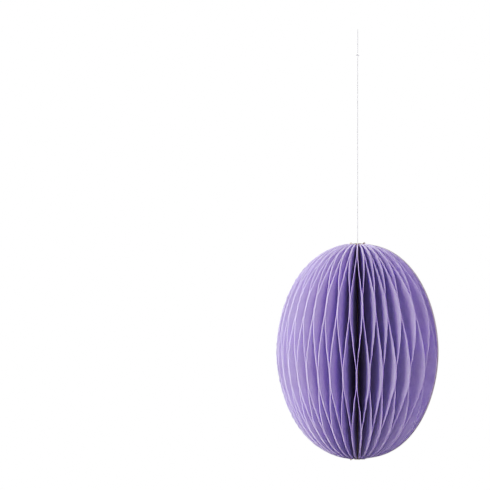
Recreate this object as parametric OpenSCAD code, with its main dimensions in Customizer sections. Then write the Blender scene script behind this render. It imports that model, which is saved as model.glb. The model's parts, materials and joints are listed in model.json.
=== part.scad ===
// Paper honeycomb egg that hangs on a thread and folds flat like a fan.
// Fifty paper leaves and two stiff cover boards stand around a narrow spine. Neighbouring leaves are
// glued together in level strips, alternately in strips A and strips B, so that the open egg is a comb.
// Origin: the inside of the hanging loop, where it rests on its hook. +Z is up, the front is -Y.

/* [Egg] */
// Height of the egg
egg_h = 120; // [110:1:130]
// Largest diameter of the egg
egg_d = 92.5; // [84:0.5:98]
// Height of the loop's inside above the top of the egg
drop = 120; // [90:1:160]
// Direction of the seam between the cover boards, from +X, seen from above
seam_turn = -18; // [-180:1:180]

/* [Leaves] */
// Number of paper leaves
leaf_count = 50; // [50:1:50]
// Thickness of the leaf paper
paper_t = 0.3; // [0.12:0.01:0.3]
// Air and glue between two leaves where they are glued
glue_gap = 0.02; // [0.01:0.01:0.04]
// Angle of one leaf where the comb is crowded
crowded_turn = 4.5; // [4.4:0.1:6]
// Share of the leaves that open gradually before the crowded leaves
opening_leaves = 7.6; // [7.2:0.2:10]
// Number of leaves from the seam to the end of the crowded leaves
crowded_end = 29; // [20:1:29]
// Number of leaves over which the comb opens again
widening_leaves = 6; // [3:1:6]

/* [Glue strips] */
// Height after which the pattern of strips repeats
strip_repeat = 75; // [70:1:76]
// Height of one strip
strip_h = 9; // [8:0.5:16]
// Height of the upper strip A above the egg's middle
strip_a_z = 26; // [22:0.5:28]
// Height of the middle strip B above the egg's middle
strip_b_z = -14; // [-18:0.5:-12]

/* [Spine] */
// Radius of the circle on which the leaves begin
spine_r = 4.9; // [4.8:0.1:5.4]
// Turn of the spine ahead of the seam, which evens out how far the leaves lean at the spine
spine_lead = 22; // [16:1:26]
// Wall of the paper tube inside the spine
lining_t = 0.6; // [0.4:0.1:1]
// Length by which the tube stands out of each end
lining_proud = 0.5; // [0.2:0.1:1]
// Height of the glue plug in the tube's lower end
plug_h = 5; // [4:0.5:8]

/* [Cover boards] */
// Thickness of one cover board
board_t = 1.5; // [1.3:0.1:1.6]
// Distance between the two closed boards
seam_gap = 0.1; // [0.06:0.02:0.2]
// Diameter of a closing magnet
magnet_d = 6; // [5:0.5:8]
// Thickness of a closing magnet
magnet_t = 1; // [0.5:0.1:1]
// Height of the magnets above and below the egg's middle
magnet_z = 18; // [12:1:24]

/* [Thread] */
// Diameter of the thread
thread_d = 0.5; // [0.4:0.1:0.8]
// Width of the hanging loop
loop_w = 5; // [4:0.5:6]
// Height of the hanging loop down to its knot
loop_h = 14; // [12:1:18]
// Diameter of the knot under the loop
loop_knot_d = 1.9; // [1.6:0.1:2.2]
// Diameter of the knot that carries the egg
anchor_knot_d = 2.2; // [1.8:0.1:2.4]

/* [Hidden] */
LEAVES = [for (n = [1:leaf_count]) str("leaf_", n < 10 ? "0" : "", n)];

paper = [0.55, 0.47, 0.79];
greyboard = [0.58, 0.50, 0.47];
cream = [0.87, 0.83, 0.72];
white_thread = [0.91, 0.91, 0.90];
nickel = [0.70, 0.70, 0.72];

egg_z = -drop - egg_h / 2;

function share(x) = min(1, max(0, x));

// Outline of a leaf: nearly half an ellipse, a little fuller at the shoulders, that ends pole_w outside
// the spine at each pole.
outline_power = 1.9;
outline_root = 2.3;
pole_w = 0.4;
pole_share = pow(1 - pow((spine_r + pole_w) / (egg_d / 2), outline_root), 1 / outline_power);
half_h = egg_h / 2 / pole_share;
pole_angle = asin(pole_share);
outline_steps = 22;
function leaf_reach(z) =
    egg_d / 2 * pow(1 - pow(abs(z) / half_h, outline_power), 1 / outline_root) - spine_r;

// Waviness of the comb: 1 in the strips A, -1 in the strips B, straight between them.
// Heights are counted from the lower edge of the strip A below.
function above_strip_a(z) =
    let (h = z - strip_a_z + strip_h / 2) h - strip_repeat * floor(h / strip_repeat);
strip_b_start = strip_repeat + strip_b_z - strip_a_z;
function wave(z) = let (h = above_strip_a(z)) h < strip_b_start
    ? 1 - 2 * share((h - strip_h) / (strip_b_start - strip_h))
    : 2 * share((h - strip_b_start - strip_h) / (strip_repeat - strip_b_start - strip_h)) - 1;

// Levels at which a leaf has points: along the outline, and where a strip begins or ends.
strip_edges = [for (middle = [strip_a_z, strip_b_z], n = [-1:1], side = [-1, 1])
    middle + n * strip_repeat + side * strip_h / 2];
outline_levels = [for (n = [0:outline_steps]) half_h * sin(pole_angle * (2 * n / outline_steps - 1))];
edge_levels = [for (z = strip_edges) if (abs(z) < egg_h / 2 - 1) z];
function far_from_edges(z) = min([for (e = edge_levels) abs(z - e)]) > 0.8;
kept_levels = [for (z = outline_levels) if (far_from_edges(z) || abs(z) > egg_h / 2 - 0.01) z];
function sorted(v) = len(v) < 2 ? v : let (pivot = v[0]) concat(
    sorted([for (x = v) if (x < pivot) x]), [pivot], sorted([for (x = v) if (x > pivot) x]));
levels = sorted(concat(kept_levels, edge_levels));

// Turn of each leaf about the axis. Leaf 1 is behind the seam and the last leaf is in front of it.
function openness(n) = let (i = leaf_count + 1 - n)
    share(1 - i / opening_leaves) + share((i - crowded_end) / widening_leaves);
function total(v, n = 0) = n < len(v) ? v[n] + total(v, n + 1) : 0;
open_total = total([for (n = [1:leaf_count]) openness(n)]);
open_turn = (360 - leaf_count * crowded_turn) / open_total;
function leaf_turn(n) = crowded_turn + open_turn * openness(n);

// Joint n is the plane between leaf n - 1 and leaf n. Its angle is counted from the seam.
function joint_angle(n) = n <= 1 ? 0 : joint_angle(n - 1) + leaf_turn(n - 1);
joint_angles = [for (n = [0:leaf_count + 1]) joint_angle(n)];

// The spine's circle is shared out by thickness: the boards meet on it at spine_lead, and the leaves have
// equal shares of the rest.
board_room = seam_gap / 2 + board_t + glue_gap / 2;
back_turn = asin(sin(spine_lead) + board_room / spine_r) - spine_lead;
front_turn = spine_lead - asin(sin(spine_lead) - board_room / spine_r);
leaf_arc_turn = (360 - back_turn - front_turn) / leaf_count;
function spine_angle(n) = spine_lead + back_turn + (n - 1) * leaf_arc_turn;

function along(a) = [cos(a), sin(a)];
function across(a) = [-sin(a), cos(a)];

// Point on leaf n at level z, at share q of its width, on the side of its paper given by face.
// swing is 1 on the joint with the next leaf and -1 on the joint with the leaf before.
function leaf_point(n, z, q, face) =
    let (
        swing = (n % 2 == 1 ? 1 : -1) * wave(z),
        middle_angle = (joint_angles[n] + joint_angles[n + 1]) / 2,
        a = middle_angle + swing * leaf_turn(n) / 2,
        s = spine_angle(n + 0.5) + swing * leaf_arc_turn / 2,
        inset = -swing * (paper_t + glue_gap) / 2 + face * paper_t / 2,
        p = spine_r * along(s) + q * leaf_reach(z) * along(a) + inset * across(a)
    ) [p.x, p.y, z];

// One leaf: a thin sheet that leans from joint to joint, as rings of four points joined level by level.
// Its two faces are split along the same diagonals, so it keeps its thickness where it twists.
function sheet_ring(n, z) = [
    leaf_point(n, z, 0, -1), leaf_point(n, z, 1, -1), leaf_point(n, z, 1, 1), leaf_point(n, z, 0, 1)
];

// Faces of a closed tube of rings. From side turned on, a side's quads are split along their other
// diagonal.
function split(a, b, c, d, turned) = turned ? [[a, b, d], [b, c, d]] : [[a, b, c], [a, c, d]];
function tube_faces(rings, sides, turned) = concat(
    [for (i = [0:rings - 2], j = [0:sides - 1]) let (k = (j + 1) % sides, a = i * sides, b = a + sides)
        each split(a + j, b + j, b + k, a + k, j >= turned)],
    [[for (j = [0:sides - 1]) j]],
    [[for (j = [sides - 1:-1:0]) (rings - 1) * sides + j]]
);

module leaf(n) {
    color(paper) on_seam()
        polyhedron(points = [for (z = levels) each sheet_ring(n, z)],
            faces = tube_faces(len(levels), 4, turned = 2), convexity = 6);
}

// Moves what is drawn about the egg's middle, with the seam along +X, to its place.
module on_seam() {
    translate([0, 0, egg_z]) rotate([0, 0, seam_turn]) children();
}

// Moves what is drawn with the spine end of the seam at [0, 0] to its place.
module on_boards() {
    on_seam() translate([spine_r, spine_r * sin(spine_lead), 0]) children();
}

// A cover board lies flat along the seam. side is 1 behind the seam and -1 in front of it.
magnet_inset = 6.5;
magnet_clear = 0.1;
magnet_x = leaf_reach(magnet_z) - magnet_inset;
board_outline = concat([for (z = outline_levels) [leaf_reach(z), z]],
    [[0, egg_h / 2], [0, -egg_h / 2]]);

module cover_board(side) {
    color(greyboard) on_boards() difference() {
        mirror([0, side > 0 ? 0 : 1, 0]) translate([0, seam_gap / 2 + board_t, 0]) rotate([90, 0, 0])
            linear_extrude(board_t) polygon(board_outline);
        magnet_places(side) cylinder(d = magnet_d + 2 * magnet_clear, h = magnet_t + magnet_clear);
    }
}

module magnets(side) {
    color(nickel) on_boards() magnet_places(side) translate([0, 0, magnet_clear / 2])
        cylinder(d = magnet_d, h = magnet_t);
}

// Places on a board's seam face, with their Z pointing into the board.
module magnet_places(side) {
    for (z = [-magnet_z, magnet_z])
        translate([magnet_x, side * seam_gap / 2, z]) rotate([-90 * side, 0, 0]) children();
}

// The spine's paper tube, and the glue plug in its lower end that the thread's knot bears on. A bead of
// the plug stands out below the tube.
lining_clear = 0.35;
lining_r = spine_r - lining_clear;
lining_h = egg_h + 2 * lining_proud;
plug_clear = 0.1;
plug_r = lining_r - lining_t - plug_clear;
plug_proud = 0.8;
bead_r = 1.9;
bead_h = 1;
plug_z = egg_z - egg_h / 2 - plug_proud;
knot_room = 0.4;
knot_seat_h = plug_h - 2;

module spine_lining() {
    color(greyboard) translate([0, 0, egg_z]) difference() {
        cylinder(r = lining_r, h = lining_h, center = true);
        cylinder(r = lining_r - lining_t, h = lining_h + 1, center = true);
    }
}

module glue_plug() {
    color(cream) translate([0, 0, plug_z]) difference() {
        union() {
            cylinder(r = bead_r, h = plug_h);
            translate([0, 0, bead_h]) cylinder(r = plug_r, h = plug_h - bead_h);
        }
        translate([0, 0, -1]) cylinder(d = thread_d + 2 * knot_room, h = plug_h + 2);
        translate([0, 0, -1]) cylinder(d = anchor_knot_d + 2 * knot_room, h = knot_seat_h + 1);
    }
}

// A tight overhand knot: a round body with one turn of thread standing out around it.
module knot(d) {
    sphere(d = d);
    rotate([20, 0, 0]) rotate_extrude() translate([d / 2 - thread_d / 4, 0]) circle(d = thread_d);
}

anchor_z = plug_z + knot_seat_h - anchor_knot_d / 2 - 0.1;
loop_knot_z = -loop_h;
knot_clear = 0.05;

module loop_knot() {
    color(white_thread) translate([0, 0, loop_knot_z]) knot(loop_knot_d);
}

module anchor_knot() {
    color(white_thread) translate([0, 0, anchor_z]) knot(anchor_knot_d);
}

// Tube of thread along points that all have x = 0, with one ring of points at each.
thread_sides = 8;
function direction(route, i) = let (
    a = route[max(0, i - 1)], b = route[min(len(route) - 1, i + 1)]) (b - a) / norm(b - a);
function thread_ring(route, i) = let (d = direction(route, i), side = [0, -d.z, d.y])
    [for (j = [0:thread_sides - 1]) let (a = 360 * j / thread_sides)
        route[i] + thread_d / 2 * (cos(a) * [1, 0, 0] + sin(a) * side)];

module thread_tube(route) {
    color(white_thread) polyhedron(
        points = [for (i = [0:len(route) - 1]) each thread_ring(route, i)],
        faces = tube_faces(len(route), thread_sides, turned = thread_sides), convexity = 4);
}

// The thread runs straight down from the loop's knot, through the spine, to the anchor knot.
thread_top = loop_knot_z - loop_knot_d / 2 - knot_clear;
thread_end = anchor_z + anchor_knot_d / 2 + knot_clear;
thread_route = [[0, 0, thread_top], [0, 0, -60], [0, 0, -120], [0, 0, -180], [0, 0, thread_end]];

// The loop is a drop shape: up one side, around a half circle, and down the other side.
bend_r = loop_w / 2;
bend_z = thread_d / 2 - bend_r;
loop_foot = [0, 0.5, loop_knot_z + loop_knot_d / 2 + 0.2];
bend_steps = 12;
loop_route = concat(
    [loop_foot],
    [for (n = [0:bend_steps]) let (a = 180 * n / bend_steps)
        [0, bend_r * cos(a), bend_z + bend_r * sin(a)]],
    [[0, -loop_foot.y, loop_foot.z]]
);

thread_tube(loop_route);  // hang_loop
loop_knot();
thread_tube(thread_route);  // thread
anchor_knot();
glue_plug();
spine_lining();
cover_board(1);  // cover_board_back
cover_board(-1);  // cover_board_front
magnets(1);  // magnets_back
magnets(-1);  // magnets_front
for (n = [1:leaf_count])
    leaf(n);
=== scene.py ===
"""Paper honeycomb egg on a thread: the looks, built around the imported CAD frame. Lengths are in metres."""
import json
import math
import random

import bmesh
import bpy
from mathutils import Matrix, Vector

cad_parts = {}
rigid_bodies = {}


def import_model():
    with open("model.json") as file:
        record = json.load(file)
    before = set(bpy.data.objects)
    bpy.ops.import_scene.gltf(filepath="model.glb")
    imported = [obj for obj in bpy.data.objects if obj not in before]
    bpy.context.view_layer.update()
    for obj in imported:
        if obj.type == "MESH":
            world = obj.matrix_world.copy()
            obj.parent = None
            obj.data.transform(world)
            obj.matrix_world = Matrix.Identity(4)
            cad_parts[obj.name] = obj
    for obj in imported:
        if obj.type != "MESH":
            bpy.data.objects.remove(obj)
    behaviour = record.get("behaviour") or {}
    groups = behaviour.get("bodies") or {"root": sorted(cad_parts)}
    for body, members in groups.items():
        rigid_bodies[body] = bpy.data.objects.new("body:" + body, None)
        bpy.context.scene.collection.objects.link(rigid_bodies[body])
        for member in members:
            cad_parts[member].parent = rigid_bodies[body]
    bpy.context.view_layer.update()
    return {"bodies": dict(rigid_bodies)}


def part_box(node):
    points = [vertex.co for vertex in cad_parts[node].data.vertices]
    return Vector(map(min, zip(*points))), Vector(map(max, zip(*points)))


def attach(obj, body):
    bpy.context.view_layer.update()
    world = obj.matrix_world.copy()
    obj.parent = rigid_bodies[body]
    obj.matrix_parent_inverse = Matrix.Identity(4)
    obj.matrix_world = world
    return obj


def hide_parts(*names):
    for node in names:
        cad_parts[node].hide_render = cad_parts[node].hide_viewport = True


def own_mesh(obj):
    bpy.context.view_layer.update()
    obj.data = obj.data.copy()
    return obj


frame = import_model()

MM = 0.001

# Driving dimensions, as in the CAD model. Turns and leads are in degrees.
EGG_H = 120 * MM
EGG_D = 92.5 * MM
SEAM_TURN = -18
LEAF_COUNT = 50
PAPER_T = 0.3 * MM
GLUE_GAP = 0.02 * MM
CROWDED_TURN = 4.5
OPENING_LEAVES = 7.6
CROWDED_END = 29
WIDENING_LEAVES = 6
STRIP_REPEAT = 75 * MM
STRIP_H = 9 * MM
STRIP_A_Z = 26 * MM
STRIP_B_Z = -14 * MM
SPINE_R = 4.9 * MM
SPINE_LEAD = 22
POLE_W = 0.4 * MM
OUTLINE_POWER = 1.9
OUTLINE_ROOT = 2.3
LINING_T = 0.6 * MM
LINING_CLEAR = 0.35 * MM
BOARD_T = 1.5 * MM
SEAM_GAP = 0.1 * MM
MAGNET_D = 6 * MM
MAGNET_T = 1 * MM
MAGNET_Z = 18 * MM
MAGNET_INSET = 6.5 * MM
MAGNET_CLEAR = 0.1 * MM
THREAD_D = 0.5 * MM

# Places that the frame gives.
SPINE_LOW, SPINE_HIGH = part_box("spine_lining")
EGG_Z = (SPINE_LOW[2] + SPINE_HIGH[2]) / 2
PLUG_LOW, PLUG_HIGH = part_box("glue_plug")

# The thread's route, as in the CAD model, from the knot that carries the egg up to the loop's knot.
THREAD_ROUTE = [(0, 0, -0.23785), (0, 0, -0.18), (0, 0, -0.12), (0, 0, -0.06), (0, 0, -0.015)]
LOOP_WIDTH = 5 * MM
LOOP_FOOT = (0.5 * MM, -12.85 * MM)


# ---------------------------------------------------------------- helpers

def along(angle):
    """Level unit vector at that angle from the seam, in degrees."""
    a = math.radians(angle + SEAM_TURN)
    return Vector((math.cos(a), math.sin(a), 0))


def across(angle):
    """Level unit vector square to along(angle), on its anticlockwise side."""
    return along(angle + 90)


def clamp(x, low, high):
    """The value, held between two others."""
    return min(high, max(low, x))


def mix(a, b, t):
    """The value that lies a share t of the way from a to b."""
    return a + (b - a) * t


def new_mesh(name, verts, faces):
    """A mesh from its corners and its faces."""
    mesh = bpy.data.meshes.new(name)
    mesh.from_pydata([tuple(v) for v in verts], [], faces)
    return mesh


def new_object(name, data):
    """An object that is in the scene."""
    thing = bpy.data.objects.new(name, data)
    bpy.context.scene.collection.objects.link(thing)
    return thing


def new_piece(name, verts, faces, materials, body, nodes, smooth=True):
    """A mesh object that rides on a body and stands for CAD nodes."""
    mesh = new_mesh(name, verts, faces)
    mesh.validate()
    if smooth:
        mesh.shade_smooth()
    else:
        mesh.shade_flat()
    for material in materials:
        mesh.materials.append(material)
    piece = new_object(name, mesh)
    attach(piece, body)
    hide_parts(*nodes)
    return piece


def grid_faces(rows, columns, closed=False, first=0):
    """Quads of a grid of points listed row by row; closed joins each row's last point to its first."""
    return [(first + i * columns + j, first + i * columns + (j + 1) % columns,
             first + (i + 1) * columns + (j + 1) % columns, first + (i + 1) * columns + j)
            for i in range(rows - 1) for j in range(columns if closed else columns - 1)]


def tube_faces(rings, sides):
    """Faces of a tube of rings of points, closed by one face across each end."""
    last = (rings - 1) * sides
    ends = [tuple(reversed(range(sides))), tuple(range(last, last + sides))]
    return grid_faces(rings, sides, closed=True) + ends


def hoop_faces(rings, sides, shift=0):
    """Faces of a tube whose last ring joins its first, shift points further round."""
    last = (rings - 1) * sides
    closing = [(last + j, last + (j + 1) % sides, (j + 1 + shift) % sides, (j + shift) % sides)
               for j in range(sides)]
    return grid_faces(rings, sides, closed=True) + closing


def face_outward(mesh):
    """Turns all the faces of a closed mesh outward."""
    shape = bmesh.new()
    shape.from_mesh(mesh)
    bmesh.ops.recalc_face_normals(shape, faces=shape.faces)
    shape.to_mesh(mesh)
    shape.free()


def apply_modifiers(piece):
    """Puts the result of a piece's modifiers into its mesh."""
    bpy.context.view_layer.update()
    shown = piece.evaluated_get(bpy.context.evaluated_depsgraph_get())
    mesh = bpy.data.meshes.new_from_object(shown)
    piece.modifiers.clear()
    piece.data = mesh


# ---------------------------------------------------------------- camera

# The photograph's framing, measured at the egg. The sensor's width is in millimetres, as Blender has it.
CAMERA_DISTANCE = 2.5
FRAME_WIDTH = 0.2747
SENSOR = 36
EGG_RIGHT_OF_AXIS = 0.0631
EGG_BELOW_AXIS = 0.0596


def make_camera():
    """Level camera with a long lens that looks along +Y."""
    data = bpy.data.cameras.new("camera")
    data.sensor_width = SENSOR
    data.lens = SENSOR * CAMERA_DISTANCE / FRAME_WIDTH
    data.clip_start = 0.05
    data.clip_end = 50
    camera = new_object("camera", data)
    camera.location = (-EGG_RIGHT_OF_AXIS, -CAMERA_DISTANCE, EGG_Z + EGG_BELOW_AXIS)
    camera.rotation_euler = (math.pi / 2, 0, 0)
    bpy.context.scene.camera = camera


# ---------------------------------------------------------------- materials

def new_material(name, roughness):
    """A Principled material; returns it, its shader, and functions that add and join nodes."""
    material = bpy.data.materials.new(name)
    material.use_nodes = True
    tree = material.node_tree
    shader = tree.nodes["Principled BSDF"]
    shader.inputs["Roughness"].default_value = roughness

    def add(kind, **values):
        node = tree.nodes.new("ShaderNode" + kind)
        for key, value in values.items():
            if key in node.inputs:
                node.inputs[key].default_value = value
            else:
                setattr(node, key, value)
        return node

    def join(a, a_socket, b, b_socket):
        tree.links.new(a.outputs[a_socket], b.inputs[b_socket])
        return b

    return material, shader, add, join


def set_inputs(node, **values):
    """Sets sockets by name, with _ for each space."""
    for key, value in values.items():
        node.inputs[key.replace("_", " ")].default_value = value


def noise(add, join, scale, detail=3.0, stretch=(1, 1, 1)):
    """Noise in the object's own coordinates; scale counts features in a metre."""
    place = add("TexCoord")
    spread = add("Mapping", Scale=tuple(scale * s for s in stretch))
    texture = add("TexNoise", Scale=1.0, Detail=detail, Roughness=0.6)
    join(place, "Object", spread, "Vector")
    join(spread, "Vector", texture, "Vector")
    return texture


def ramp(add, join, source, dark, light, low=0.3, high=0.7):
    """Colour ramp from dark to light over a noise's values from low to high."""
    node = add("ValToRGB")
    for end, place, colour in zip(node.color_ramp.elements, (low, high), (dark, light)):
        end.position = place
        end.color = (*colour, 1)
    join(source, "Fac", node, "Fac")
    return node


def tinted(colour, factor):
    """The colour made lighter or darker."""
    return tuple(min(1, c * factor) for c in colour)


def uneven_roughness(add, join, shader, source, low, high):
    """Roughness that follows a noise."""
    spread = add("MapRange")
    set_inputs(spread, To_Min=low, To_Max=high)
    join(source, "Fac", spread, "Value")
    join(spread, "Result", shader, "Roughness")


def bump(add, join, shader, source, strength, depth, under=None):
    """Relief from a noise, on top of the relief under it."""
    node = add("Bump", Strength=strength, Distance=depth)
    join(source, "Fac", node, "Height")
    if under:
        join(under, "Normal", node, "Normal")
    join(node, "Normal", shader, "Normal")
    return node


LILAC = (0.53, 0.44, 0.755)
# The cut edge's colour is partly the paper's own cut fibre and partly a painted highlight: it is bluer and
# lighter than the faces to stand in for the light that the cut edges catch and let through.
CUT_EDGE_LILAC_AND_PAINTED_HIGHLIGHT = (0.56, 0.43, 0.87)
PAPER_GLOW = 0.4 * MM


def paper(name, colour, cloud=0.05, fibre_depth=0.03 * MM):
    """Dyed paper: cloudy dye, short fibres that stand out a little, and a matt, uneven surface."""
    material, shader, add, join = new_material(name, roughness=0.8)
    set_inputs(shader, Specular_IOR_Level=0.3, Sheen_Weight=0.08, Sheen_Roughness=0.5)
    set_inputs(shader, Subsurface_Weight=1, Subsurface_Radius=(1, 1, 1), Subsurface_Scale=PAPER_GLOW)
    dye = noise(add, join, scale=120, detail=4)
    dyed = ramp(add, join, dye, tinted(colour, 1 - cloud), tinted(colour, 1 + cloud))
    fibres = noise(add, join, scale=1400, detail=5, stretch=(1, 1, 0.35))
    flecks = ramp(add, join, fibres, (0.90, 0.90, 0.91), (1, 1, 1), low=0.35, high=0.75)
    blend = add("Mix", data_type="RGBA", blend_type="MULTIPLY")
    set_inputs(blend, Factor=1)
    join(dyed, "Color", blend, "A")
    join(flecks, "Color", blend, "B")
    join(blend, "Result", shader, "Base Color")
    uneven_roughness(add, join, shader, fibres, low=0.7, high=0.92)
    tooth = noise(add, join, scale=3600, detail=2)
    under = bump(add, join, shader, tooth, strength=0.35, depth=fibre_depth)
    bump(add, join, shader, fibres, strength=0.5, depth=fibre_depth * 2, under=under)
    return material


def grained(name, roughness, scale, detail, stretch, dark, light, relief, depth):
    """A material whose tone and relief follow one noise; returns what new_material gives, and the noise."""
    material, shader, add, join = new_material(name, roughness)
    grain = noise(add, join, scale, detail, stretch)
    join(ramp(add, join, grain, dark, light), "Color", shader, "Base Color")
    bump(add, join, shader, grain, relief, depth)
    return material, shader, add, join, grain


def greyboard(name):
    """Cut edge of layered board: thin uneven layers of pinkish grey and brown."""
    return grained(name, roughness=0.9, scale=1800, detail=3, stretch=(1, 1, 0.05),
                   dark=(0.27, 0.20, 0.24), light=(0.54, 0.44, 0.51), relief=0.7, depth=0.08 * MM)[0]


def kraft(name):
    """Brown wrapping paper with long fibres."""
    return grained(name, roughness=0.85, scale=900, detail=5, stretch=(1, 1, 0.2),
                   dark=(0.24, 0.165, 0.115), light=(0.42, 0.31, 0.23), relief=0.6, depth=0.05 * MM)[0]


def glue(name):
    """Dried craft glue: cream, slightly glossy and cloudy."""
    material, shader, *_ = grained(
        name, roughness=0.35, scale=700, detail=3, stretch=(1, 1, 1),
        dark=(0.62, 0.55, 0.40), light=(0.82, 0.77, 0.63), relief=0.4, depth=0.1 * MM)
    set_inputs(shader, Coat_Weight=0.2)
    return material


def cotton(name):
    """White twisted thread with fine fibres along the ply."""
    material, shader, *_ = grained(
        name, roughness=0.8, scale=9000, detail=3, stretch=(1, 1, 0.3),
        dark=(0.58, 0.58, 0.58), light=(0.82, 0.82, 0.81), relief=0.5, depth=0.02 * MM)
    set_inputs(shader, Sheen_Weight=0.25)
    return material


def nickel(name):
    """Nickel plate with fine scratches and dull patches."""
    material, shader, add, join, scratches = grained(
        name, roughness=0.3, scale=2500, detail=4, stretch=(1, 0.06, 1),
        dark=(0.50, 0.49, 0.47), light=(0.72, 0.71, 0.69), relief=0.2, depth=0.01 * MM)
    set_inputs(shader, Metallic=1)
    uneven_roughness(add, join, shader, scratches, low=0.35, high=0.6)
    return material


# ---------------------------------------------------------------- thread

PLY_COUNT = 3
PLY_PITCH = 1.6 * MM
PLY_SIDES = 18
PLY_GROOVE = 0.72
PLY_ROUND = 0.6
THREAD_STEP = 0.2 * MM
BEND_STEPS = 24
KNOT_STEPS = 90
KNOT_RISE = 1.25
LOOP_KNOT_TILT = Vector((0.3, -0.2, 1))
EGG_KNOT_TILT = Vector((0.1, 0.2, 1))


def thread_ring(centre, side, up, travelled):
    """Ring of points round a stretch of twisted thread: three plies that turn as the thread runs on."""
    ring = []
    twist = math.tau * travelled / PLY_PITCH
    for j in range(PLY_SIDES):
        a = math.tau * j / PLY_SIDES
        lobe = abs(math.cos(PLY_COUNT * (a - twist) / 2))
        r = THREAD_D / 2 * mix(PLY_GROOVE, 1, lobe ** PLY_ROUND)
        ring.append(centre + r * math.cos(a) * side + r * math.sin(a) * up)
    return ring


def straight_route(points):
    """Closely spaced points on straight stretches between points, each with the length travelled."""
    found, travelled = [], 0.0
    for a, b in zip(points, points[1:]):
        a, b = Vector(a), Vector(b)
        length = (b - a).length
        count = max(1, round(length / THREAD_STEP))
        found += [(a.lerp(b, i / count), travelled + length * i / count) for i in range(count)]
        travelled += length
    found.append((Vector(points[-1]), travelled))
    return found


def thread_rings(route, closed=False):
    """Rings of twisted thread along a route of points with their lengths travelled."""
    verts, side = [], None
    count = len(route)
    for i, (p, travelled) in enumerate(route):
        before = route[i - 1 if closed else max(0, i - 1)][0]
        after = route[(i + 1) % count if closed else min(count - 1, i + 1)][0]
        way = (after - before).normalized()
        side = way.orthogonal() if side is None else side
        side = (side - side.dot(way) * way).normalized()
        verts += thread_ring(p, side, way.cross(side), travelled)
    return verts


def twisted_thread(points):
    """Vertices and faces of a closed twisted thread along points."""
    verts = thread_rings(straight_route(points))
    return verts, tube_faces(len(verts) // PLY_SIDES, PLY_SIDES)


def loop_points():
    """Drop shape in the YZ plane: up one side, round a half circle and down the other side."""
    bend_r = LOOP_WIDTH / 2
    bend_z = THREAD_D / 2 - bend_r
    turns = [math.pi * i / BEND_STEPS for i in range(BEND_STEPS + 1)]
    bend = [(0, bend_r * math.cos(a), bend_z + bend_r * math.sin(a)) for a in turns]
    foot_y, foot_z = LOOP_FOOT
    return [(0, foot_y, foot_z)] + bend + [(0, -foot_y, foot_z)]


def knot_points(centre, size, tilt):
    """A tight overhand knot, as a trefoil about the vertical whose outside is size wide."""
    spread = (size / 2 - THREAD_D / 2) / 3
    points = []
    for i in range(KNOT_STEPS):
        t = math.tau * i / KNOT_STEPS
        p = Vector((math.sin(t) + 2 * math.sin(2 * t), math.cos(t) - 2 * math.cos(2 * t),
                    -KNOT_RISE * math.sin(3 * t)))
        p.rotate(tilt.to_track_quat("Z", "Y"))
        points.append(centre + spread * p)
    return points


def make_knot(name, node, body, material, tilt):
    """An overhand knot where the CAD knot is. Its tube closes on itself."""
    low, high = (Vector(v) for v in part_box(node))
    points = knot_points((low + high) / 2, min(high - low), tilt)
    route, travelled = [], 0.0
    for p, after in zip(points, points[1:] + points[:1]):
        route.append((p, travelled))
        travelled += (after - p).length
    verts = thread_rings(route, closed=True)
    last_corner = verts[-PLY_SIDES]
    shift = min(range(PLY_SIDES), key=lambda k: (last_corner - verts[k]).length)
    faces = hoop_faces(KNOT_STEPS, PLY_SIDES, shift)
    return new_piece(name, verts, faces, [material], body, [node])


def make_thread(material):
    """The hanging thread, its loop and its two knots."""
    verts, faces = twisted_thread(THREAD_ROUTE)
    thread = new_piece("hanging_thread", verts, faces, [material], "thread", ["thread"])
    verts, faces = twisted_thread(loop_points())
    loop = new_piece("hanging_loop", verts, faces, [material], "loop", ["hang_loop"])
    upper = make_knot("loop_overhand_knot", "loop_knot", "knot", material, LOOP_KNOT_TILT)
    lower = make_knot("egg_overhand_knot", "anchor_knot", "thread", material, EGG_KNOT_TILT)


# ---------------------------------------------------------------- egg geometry

POLE_SHARE = (1 - ((SPINE_R + POLE_W) / (EGG_D / 2)) ** OUTLINE_ROOT) ** (1 / OUTLINE_POWER)
POLE_ANGLE = math.asin(POLE_SHARE)
HALF_H = EGG_H / 2 / POLE_SHARE
REACH = EGG_D / 2 - SPINE_R


def leaf_reach(z):
    """Width of a leaf at level z above the egg's middle."""
    return EGG_D / 2 * (1 - abs(z / HALF_H) ** OUTLINE_POWER) ** (1 / OUTLINE_ROOT) - SPINE_R


def openness(n):
    """How far leaf n opens beyond the crowded ones: up to 1 beside the seam and at the back."""
    i = LEAF_COUNT + 1 - n
    return clamp(1 - i / OPENING_LEAVES, 0, 1) + clamp((i - CROWDED_END) / WIDENING_LEAVES, 0, 1)


LEAVES = range(1, LEAF_COUNT + 1)
OPEN_TURN = (360 - LEAF_COUNT * CROWDED_TURN) / sum(openness(n) for n in LEAVES)
JOINT_ANGLES = {1: 0.0}
for n in LEAVES:
    JOINT_ANGLES[n + 1] = JOINT_ANGLES[n] + CROWDED_TURN + OPEN_TURN * openness(n)

BOARD_ROOM = SEAM_GAP / 2 + BOARD_T + GLUE_GAP / 2
LEAD_Y = SPINE_R * math.sin(math.radians(SPINE_LEAD))
BACK_TURN = math.degrees(math.asin((LEAD_Y + BOARD_ROOM) / SPINE_R)) - SPINE_LEAD
FRONT_TURN = SPINE_LEAD - math.degrees(math.asin((LEAD_Y - BOARD_ROOM) / SPINE_R))
LEAF_ARC_TURN = (360 - BACK_TURN - FRONT_TURN) / LEAF_COUNT


def spine_angle(n):
    """Where the arc of leaf n begins on the spine's circle."""
    return SPINE_LEAD + BACK_TURN + (n - 1) * LEAF_ARC_TURN


def body_of_leaf(n):
    """The leaf's own body, or the spine for the leaf that stays still."""
    name = f"leaf_{n:02d}"
    return name if name in frame["bodies"] else "spine"


def outline_levels(steps):
    """Levels from the lower pole to the upper one, closer together near the poles."""
    return [HALF_H * math.sin(POLE_ANGLE * (2 * i / steps - 1)) for i in range(steps + 1)]


# ---------------------------------------------------------------- leaves

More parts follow.
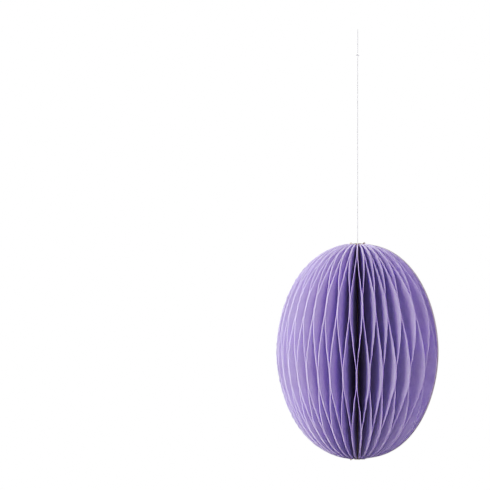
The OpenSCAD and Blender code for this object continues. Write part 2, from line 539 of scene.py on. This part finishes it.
DIRECTION_SCATTER = 0.35
STRIP_PLACE_SCATTER = 0.8 * MM
STRIP_SIZE_SCATTER = 0.7 * MM
LEAF_LEVELS = 170
LEAF_COLUMNS = 9
CORNER_SHARE = 0.07
RIM_SCATTER = 0.15 * MM
RIM_NICKS = 0.08 * MM
RIM_WAVES = 3
RIM_FADE = 3
TIP_LIFT = 0.35 * MM
TIP_H = 5 * MM
BUCKLE = 0.12 * MM
BUCKLE_SLANT = 2.2

# Random waves along a leaf: how many of them, and their least and most cycles in a metre.
WAVE_COUNT = 3
NICK_CYCLES = (90, 400)
BUCKLE_CYCLES = (40, 130)


def make_joints(chance):
    """For each joint between two leaves, its angle and the spans of its glue strips, a little uneven."""
    joints = {}
    for j in range(1, LEAF_COUNT + 2):
        on_board = j in (1, LEAF_COUNT + 1)
        scatter = 0 if on_board else chance.uniform(-DIRECTION_SCATTER, DIRECTION_SCATTER)
        first = STRIP_A_Z if j % 2 == 0 else STRIP_B_Z
        spans = []
        for k in (-1, 0, 1):
            middle = first + k * STRIP_REPEAT + chance.uniform(-STRIP_PLACE_SCATTER, STRIP_PLACE_SCATTER)
            half = STRIP_H / 2 + chance.uniform(-STRIP_SIZE_SCATTER, STRIP_SIZE_SCATTER)
            spans.append((middle - half, middle + half))
        joints[j] = (JOINT_ANGLES[j] + scatter, spans)
    return joints


def eased(t):
    """From 0 to 1 along a straight slope with rounded corners."""
    r = CORNER_SHARE
    t = clamp(t, 0, 1)
    if t < r:
        return t * t / 2 / r / (1 - r)
    if t > 1 - r:
        return 1 - (1 - t) ** 2 / 2 / r / (1 - r)
    return (t - r / 2) / (1 - r)


def swing_at(z, stops):
    """-1 on the joint before the leaf, 1 on the joint after it, and a slope between its glue strips."""
    low = stops[0]
    for high in stops[1:]:
        if z <= high[0]:
            return mix(low[2], high[2], eased((z - low[1]) / (high[0] - low[1]))) if z > low[1] else low[2]
        low = high
    return low[2]


def random_waves(chance, cycles):
    """Cycles in a metre and phase of a few waves."""
    return [(chance.uniform(*cycles), chance.uniform(0, math.tau)) for _ in range(WAVE_COUNT)]


def leaf_points(n, joints, chance):
    """Grid of points in the middle of leaf n's paper, level by level, from the spine to the rim."""
    (before, spans_before), (after, spans_after) = joints[n], joints[n + 1]
    stops = sorted([(a, b, -1) for a, b in spans_before] + [(a, b, 1) for a, b in spans_after])
    rim_phase, rim_size = chance.uniform(0, math.tau), chance.uniform(0.3, 1) * RIM_SCATTER
    lean = chance.uniform(-1, 0) * RIM_SCATTER
    lifts = [chance.uniform(-1, 1) * TIP_LIFT for _ in range(2)]
    nicks = random_waves(chance, NICK_CYCLES)
    buckles = random_waves(chance, BUCKLE_CYCLES)
    points = []
    for z in outline_levels(LEAF_LEVELS):
        swing = swing_at(z, stops)
        angle = mix(before, after, (1 + swing) / 2)
        spine = SPINE_R * along(spine_angle(n + 0.5) + swing * LEAF_ARC_TURN / 2)
        inset = -swing * (PAPER_T + GLUE_GAP) / 2
        width = leaf_reach(z)
        trim = (lean + rim_size * math.sin(rim_phase + RIM_WAVES * math.tau * z / EGG_H)
                + RIM_NICKS * sum(math.sin(f * z * math.tau + p) for f, p in nicks))
        free = 1 - swing * swing
        lift = lifts[0 if z < 0 else 1] * clamp((abs(z) - EGG_H / 2 + TIP_H) / TIP_H, 0, 1) ** 2
        for c in range(LEAF_COLUMNS):
            q = c / (LEAF_COLUMNS - 1)
            wobble = sum(math.sin(f * z * math.tau + p + BUCKLE_SLANT * k * q)
                         for k, (f, p) in enumerate(buckles))
            side = inset + BUCKLE * free * q * wobble / WAVE_COUNT
            radius = q * width + (trim if c == LEAF_COLUMNS - 1 else 0) * min(1, width / REACH * RIM_FADE)
            p = spine + radius * along(angle) + side * across(angle)
            points.append(p + Vector((0, 0, EGG_Z + z + lift)))
    return points


def make_leaf(n, joints, chance, face, edge):
    """One waved paper leaf."""
    verts = leaf_points(n, joints, chance)
    rows = LEAF_LEVELS + 1
    leaf = new_piece(f"paper_leaf_{n:02d}", verts, grid_faces(rows, LEAF_COLUMNS), [face, edge],
                     body_of_leaf(n), [f"leaf_{n:02d}"])
    mark_border_sharp(leaf.data)
    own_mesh(leaf)
    sheet = leaf.modifiers.new("paper", "SOLIDIFY")
    sheet.thickness = PAPER_T
    sheet.offset = 0
    sheet.use_even_offset = True
    # The rim takes the second slot: the cut-edge colour, which carries a painted highlight.
    sheet.material_offset_rim = 1


def mark_border_sharp(mesh):
    """Keeps the cut edge of the paper crisp beside its smooth faces."""
    shape = bmesh.new()
    shape.from_mesh(mesh)
    for edge in shape.edges:
        edge.smooth = not edge.is_boundary
    shape.to_mesh(mesh)
    shape.free()


# ---------------------------------------------------------------- spine, boards and magnets

LINING_STEPS = 3
LINING_EASE = 0.12 * MM
LINING_WEAR = 0.1 * MM
LINING_END = 0.2 * MM

# Ripples of the tube's cut ends: how many go round the tube, and their height.
LINING_RIPPLES = [(13, 0.06 * MM), (31, 0.05 * MM)]

# High spots of the tube's worn ends: angle from the seam, half width in degrees, and height.
TOP_SPOTS = [(223, 20, 0.75 * MM), (350, 18, 0.95 * MM), (104, 45, 0.4 * MM)]
FOOT_SPOTS = [(224, 14, 0.8 * MM), (339, 34, 0.3 * MM), (99, 40, 0.5 * MM)]


def high_spots(angle, spots):
    """Height that the spots add to an end of the tube at that angle."""
    height = 0
    for middle, width, size in spots:
        off = (angle - middle + 180) % 360 - 180
        height += size * math.exp(-(off / width) ** 2)
    return height


def lining_ring(angle):
    """Section of the tube's wall at that angle, with eased edges and uneven ends."""
    outer = SPINE_R - LINING_CLEAR - LINING_WEAR
    inner = SPINE_R - LINING_CLEAR - LINING_T
    ripple = sum(height * math.sin(math.radians(angle * count)) for count, height in LINING_RIPPLES)
    low = SPINE_LOW[2] + LINING_END + ripple - high_spots(angle, FOOT_SPOTS)
    high = SPINE_HIGH[2] - LINING_END + ripple + high_spots(angle, TOP_SPOTS)
    ease = LINING_EASE
    section = [(inner, low + ease), (inner + ease, low), (outer - ease, low), (outer, low + ease),
               (outer, high - ease), (outer - ease, high), (inner + ease, high), (inner, high - ease)]
    return [r * along(angle) + Vector((0, 0, z)) for r, z in section]


def make_lining_strip(name, first, last, body, material):
    """The stretch of the spine's paper tube behind one leaf or board, between two spine angles."""
    verts = []
    for i in range(LINING_STEPS + 1):
        verts += lining_ring(mix(first, last, i / LINING_STEPS))
    faces = tube_faces(LINING_STEPS + 1, len(verts) // (LINING_STEPS + 1))
    new_piece(name, verts, faces, [material], body, ["spine_lining"], smooth=False)


def make_lining(material):
    """The whole tube, as one strip for each leaf and each board."""
    for n in LEAVES:
        first, last = spine_angle(n), spine_angle(n + 1)
        make_lining_strip(f"spine_tube_{n:02d}", first, last, body_of_leaf(n), material)
    make_lining_strip("spine_tube_back", SPINE_LEAD, SPINE_LEAD + BACK_TURN, "cover_back", material)
    make_lining_strip("spine_tube_front", SPINE_LEAD - FRONT_TURN, SPINE_LEAD, "cover_front", material)


BOARD_LEVELS = 110
BOARD_COLUMNS = 12
BOARD_BEVEL = 0.12 * MM

# Edges sharper than this many degrees are bevelled. Faces whose normal has more than this share across the
# board are lined with leaf paper.
BEVEL_FROM = 50
LINED_FROM = 0.3

BORE_SIDES = 48
MAGNET_SIDES = 64
MAGNET_EASE = 0.12 * MM


def magnet_centres():
    """Where the magnets' centres lie in the seam: along it from the egg's axis, and up from its middle."""
    x = SPINE_R + leaf_reach(MAGNET_Z) - MAGNET_INSET
    return [(x, -MAGNET_Z), (x, MAGNET_Z)]


def seam_point(x, y, z):
    """Point of the seam's own frame: x along the seam from the egg's axis, y square to it from the seam."""
    return x * along(0) + (LEAD_Y + y) * across(0) + Vector((0, 0, EGG_Z + z))


def disc_mesh(name, x, z, side, rings, sides):
    """A closed round plug; rings gives each ring's depth below a board's seam face and its radius."""
    verts = []
    for depth, radius in rings:
        for j in range(sides):
            a = math.tau * j / sides
            verts.append(seam_point(x + radius * math.cos(a), side * (SEAM_GAP / 2 + depth),
                                    z + radius * math.sin(a)))
    mesh = new_mesh(name, verts, tube_faces(len(rings), sides))
    face_outward(mesh)
    return mesh


def board_slab(side):
    """Vertices and faces of a plain board: two sheets of a grid and the wall between them."""
    levels = outline_levels(BOARD_LEVELS)
    verts = []
    for y in (SEAM_GAP / 2, SEAM_GAP / 2 + BOARD_T):
        for z in levels:
            verts += [seam_point(SPINE_R + leaf_reach(z) * c / (BOARD_COLUMNS - 1), side * y, z)
                      for c in range(BOARD_COLUMNS)]
    rows = len(levels)
    inner = grid_faces(rows, BOARD_COLUMNS)
    outer = [tuple(reversed(f)) for f in grid_faces(rows, BOARD_COLUMNS, first=rows * BOARD_COLUMNS)]
    border = ([c for c in range(BOARD_COLUMNS)]
              + [r * BOARD_COLUMNS + BOARD_COLUMNS - 1 for r in range(1, rows)]
              + [(rows - 1) * BOARD_COLUMNS + c for c in range(BOARD_COLUMNS - 2, -1, -1)]
              + [r * BOARD_COLUMNS for r in range(rows - 2, 0, -1)])
    lift = rows * BOARD_COLUMNS
    wall = [(a, b, b + lift, a + lift) for a, b in zip(border, border[1:] + border[:1])]
    return verts, inner + outer + wall


def make_board(name, node, body, side, lining, core):
    """A cover board with blind bores for its magnets. Its faces are lined, its cut edge is bare board."""
    verts, faces = board_slab(side)
    board = new_piece(name, verts, faces, [lining, core], body, [node])
    face_outward(board.data)
    radius = MAGNET_D / 2 + MAGNET_CLEAR
    for x, z in magnet_centres():
        rings = [(-SEAM_GAP / 4, radius), (MAGNET_T + MAGNET_CLEAR, radius)]
        cutter = new_object("cutter", disc_mesh("cutter", x, z, side, rings, BORE_SIDES))
        bore = board.modifiers.new("bore", "BOOLEAN")
        bore.operation = "DIFFERENCE"
        bore.solver = "EXACT"
        bore.object = cutter
        apply_modifiers(board)
        bpy.data.objects.remove(cutter)
    edge = board.modifiers.new("bevel", "BEVEL")
    edge.width = BOARD_BEVEL
    edge.segments = 2
    edge.limit_method = "ANGLE"
    edge.angle_limit = math.radians(BEVEL_FROM)
    apply_modifiers(board)
    for face in board.data.polygons:
        face.material_index = 0 if abs(face.normal.dot(across(0))) > LINED_FROM else 1
        face.use_smooth = False


def make_magnets(name, node, body, side, material):
    """Two round magnets with eased edges, in one board's bores."""
    eases = [(0, MAGNET_EASE), (0.3 * MAGNET_EASE, 0.3 * MAGNET_EASE), (MAGNET_EASE, 0)]
    eases += [(MAGNET_T - depth, ease) for depth, ease in reversed(eases)]
    rings = [(MAGNET_CLEAR / 2 + depth, MAGNET_D / 2 - ease) for depth, ease in eases]
    verts, faces = [], []
    for x, z in magnet_centres():
        mesh = disc_mesh("magnet", x, z, side, rings, MAGNET_SIDES)
        first = len(verts)
        verts += [v.co.copy() for v in mesh.vertices]
        faces += [tuple(first + i for i in f.vertices) for f in mesh.polygons]
        bpy.data.meshes.remove(mesh)
    new_piece(name, verts, faces, [material], body, [node], smooth=False)


PLUG_HOLE_R = 0.65 * MM
PLUG_SEAT_R = 1.5 * MM
PLUG_SEAT_H = 3 * MM
BEAD_R = 1.9 * MM
BEAD_H = 1 * MM
PLUG_SIDES = 48
PLUG_CLEAR = 0.1 * MM
PLUG_EASE = 0.1 * MM
PLUG_LUMP = 0.06 * MM
PLUG_SHRINK = 0.04 * MM


def make_plug(material, chance):
    """The glue that closes the tube's lower end: a lump with a bead below it, and with the thread's hole and
    the knot's seat in it."""
    radius = SPINE_R - LINING_CLEAR - LINING_T - PLUG_CLEAR
    low, high = PLUG_LOW[2], PLUG_HIGH[2]
    seat = low + PLUG_SEAT_H
    ease = PLUG_EASE
    outline = [(PLUG_SEAT_R, seat), (PLUG_SEAT_R, low + 1.5 * ease), (PLUG_SEAT_R + ease, low),
               (BEAD_R - ease, low), (BEAD_R, low + 3 * ease), (BEAD_R + ease, low + BEAD_H - 2 * ease),
               (BEAD_R + 5 * ease, low + BEAD_H), (radius - 5 * ease, low + BEAD_H),
               (radius - ease, low + BEAD_H + 2 * ease), (radius, low + BEAD_H + 10 * ease),
               (radius, high - 6 * ease), (radius - ease, high - 2 * ease), (radius - 4 * ease, high),
               (PLUG_HOLE_R + ease, high), (PLUG_HOLE_R, high - ease), (PLUG_HOLE_R, seat)]
    phases = [chance.uniform(0, math.tau) for _ in range(WAVE_COUNT)]
    verts = []
    for r, z in outline:
        for j in range(PLUG_SIDES):
            a = math.tau * j / PLUG_SIDES
            lumps = sum(math.sin((k + 2) * a + p) for k, p in enumerate(phases)) / len(phases)
            wide = r if r <= PLUG_SEAT_R else r + PLUG_LUMP * lumps - PLUG_SHRINK
            verts.append(Vector((wide * math.cos(a), wide * math.sin(a), z)))
    faces = hoop_faces(len(outline), PLUG_SIDES)
    plug = new_piece("glue_plug_lump", verts, faces, [material], "spine", ["glue_plug"])
    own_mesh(plug)


# ---------------------------------------------------------------- stage

FLOOR_Z = -0.62
FLOOR_RADIUS = 3.0
FLOOR_SIDES = 96
FLOOR_GLOW = 0.6
DOME_RADIUS = 9.0
DOME_RINGS = 25
DOME_SIDES = 48


def stage_object(name, verts, faces, material):
    """A part of the stage that only the camera sees, so that it neither lights the egg nor shades it."""
    mesh = new_mesh(name, verts, faces)
    mesh.materials.append(material)
    mesh.shade_smooth()
    thing = new_object(name, mesh)
    thing.visible_diffuse = False
    thing.visible_glossy = False
    thing.visible_transmission = False
    thing.visible_shadow = False


def make_floor():
    """A plain pale floor below the egg."""
    material, shader, add, join = new_material("floor", roughness=0.9)
    grain = noise(add, join, scale=6, detail=4)
    join(ramp(add, join, grain, (0.80, 0.80, 0.80), (0.84, 0.84, 0.84)), "Color", shader, "Base Color")
    set_inputs(shader, Emission_Color=(1, 1, 1, 1), Emission_Strength=FLOOR_GLOW)
    turns = [math.tau * j / FLOOR_SIDES for j in range(FLOOR_SIDES)]
    verts = [(FLOOR_RADIUS * math.cos(a), FLOOR_RADIUS * math.sin(a), FLOOR_Z) for a in turns]
    stage_object("floor", verts, [tuple(range(FLOOR_SIDES))], material)


def make_backdrop():
    """A plain white surround."""
    material = bpy.data.materials.new("backdrop")
    material.use_nodes = True
    tree = material.node_tree
    tree.nodes.clear()
    glow = tree.nodes.new("ShaderNodeEmission")
    out = tree.nodes.new("ShaderNodeOutputMaterial")
    set_inputs(glow, Color=(1, 1, 1, 1))
    tree.links.new(glow.outputs["Emission"], out.inputs["Surface"])
    verts = []
    for i in range(DOME_RINGS):
        tall = math.pi * (i / (DOME_RINGS - 1) - 0.5)
        for j in range(DOME_SIDES):
            a = math.tau * j / DOME_SIDES
            verts.append(DOME_RADIUS * Vector((math.cos(tall) * math.cos(a), math.cos(tall) * math.sin(a),
                                               math.sin(tall))))
    stage_object("backdrop", verts, grid_faces(DOME_RINGS, DOME_SIDES, closed=True), material)


def area_light(name, azimuth, elevation, distance, size, power, colour):
    """A soft lamp that faces the egg. Azimuth 0 is the camera's side and positive is to its right."""
    a, e = math.radians(azimuth), math.radians(elevation)
    way = Vector((math.sin(a) * math.cos(e), -math.cos(a) * math.cos(e), math.sin(e)))
    data = bpy.data.lights.new(name, "AREA")
    data.shape = "DISK"
    data.size = size
    data.energy = power
    data.color = colour
    lamp = new_object(name, data)
    lamp.location = Vector((0, 0, EGG_Z)) + distance * way
    lamp.rotation_euler = way.to_track_quat("Z", "Y").to_euler()


GREENISH = (0.96, 1.0, 0.97)
BLUISH = (1.0, 0.95, 1.15)
WHITE = (1, 1, 1)
SURROUND = 0.05

# How the picture answers to light, like film: steep in the shadows and soft in the bright parts.
FILM_CURVE = [(0.05, 0.085), (0.1, 0.2), (0.175, 0.355), (0.25, 0.465), (0.35, 0.575), (0.5, 0.7),
              (0.75, 0.87)]


def make_light():
    """Plain soft studio light: a large lamp at the left, weaker ones round the egg, and a weak surround."""
    area_light("key", azimuth=-98, elevation=15, distance=2.0, size=1.2, power=51, colour=GREENISH)
    area_light("front", azimuth=-38, elevation=15, distance=2.0, size=1.2, power=16, colour=BLUISH)
    area_light("fill", azimuth=14, elevation=15, distance=2.0, size=1.2, power=6.5, colour=BLUISH)
    area_light("side", azimuth=112, elevation=20, distance=2.2, size=1.4, power=14, colour=BLUISH)
    area_light("back", azimuth=175, elevation=25, distance=2.4, size=1.6, power=20, colour=BLUISH)
    area_light("bounce", azimuth=-30, elevation=-50, distance=2.0, size=1.8, power=6, colour=WHITE)
    world = bpy.data.worlds.new("surround")
    world.use_nodes = True
    set_inputs(world.node_tree.nodes["Background"], Color=(1, 1, 1, 1), Strength=SURROUND)
    scene = bpy.context.scene
    scene.world = world
    view = scene.view_settings
    view.view_transform = "Standard"
    view.use_curve_mapping = True
    for place, height in FILM_CURVE:
        view.curve_mapping.curves[3].points.new(place, height)
    view.curve_mapping.update()


# ---------------------------------------------------------------- build

CHANCE_SEED = 7

make_camera()
make_thread(cotton("cotton_thread"))

chance = random.Random(CHANCE_SEED)
leaf_face = paper("leaf_paper", LILAC)
# The cut edge's material: the paper's cut fibre with a painted highlight for the light that the cut edges
# catch.
leaf_edge = paper("leaf_paper_cut_and_painted_highlight", CUT_EDGE_LILAC_AND_PAINTED_HIGHLIGHT, cloud=0.08)
joints = make_joints(chance)
for n in LEAVES:
    make_leaf(n, joints, chance, leaf_face, leaf_edge)

board_lining = paper("board_lining", tinted(LILAC, 0.97))
board_core = greyboard("greyboard")
make_board("cover_board_back_lined", "cover_board_back", "cover_back", 1, board_lining, board_core)
make_board("cover_board_front_lined", "cover_board_front", "cover_front", -1, board_lining, board_core)
magnet_metal = nickel("nickel_plate")
make_magnets("magnet_discs_back", "magnets_back", "cover_back", 1, magnet_metal)
make_magnets("magnet_discs_front", "magnets_front", "cover_front", -1, magnet_metal)
make_lining(kraft("kraft_paper"))
make_plug(glue("dried_glue"), chance)

make_floor()
make_backdrop()
make_light()
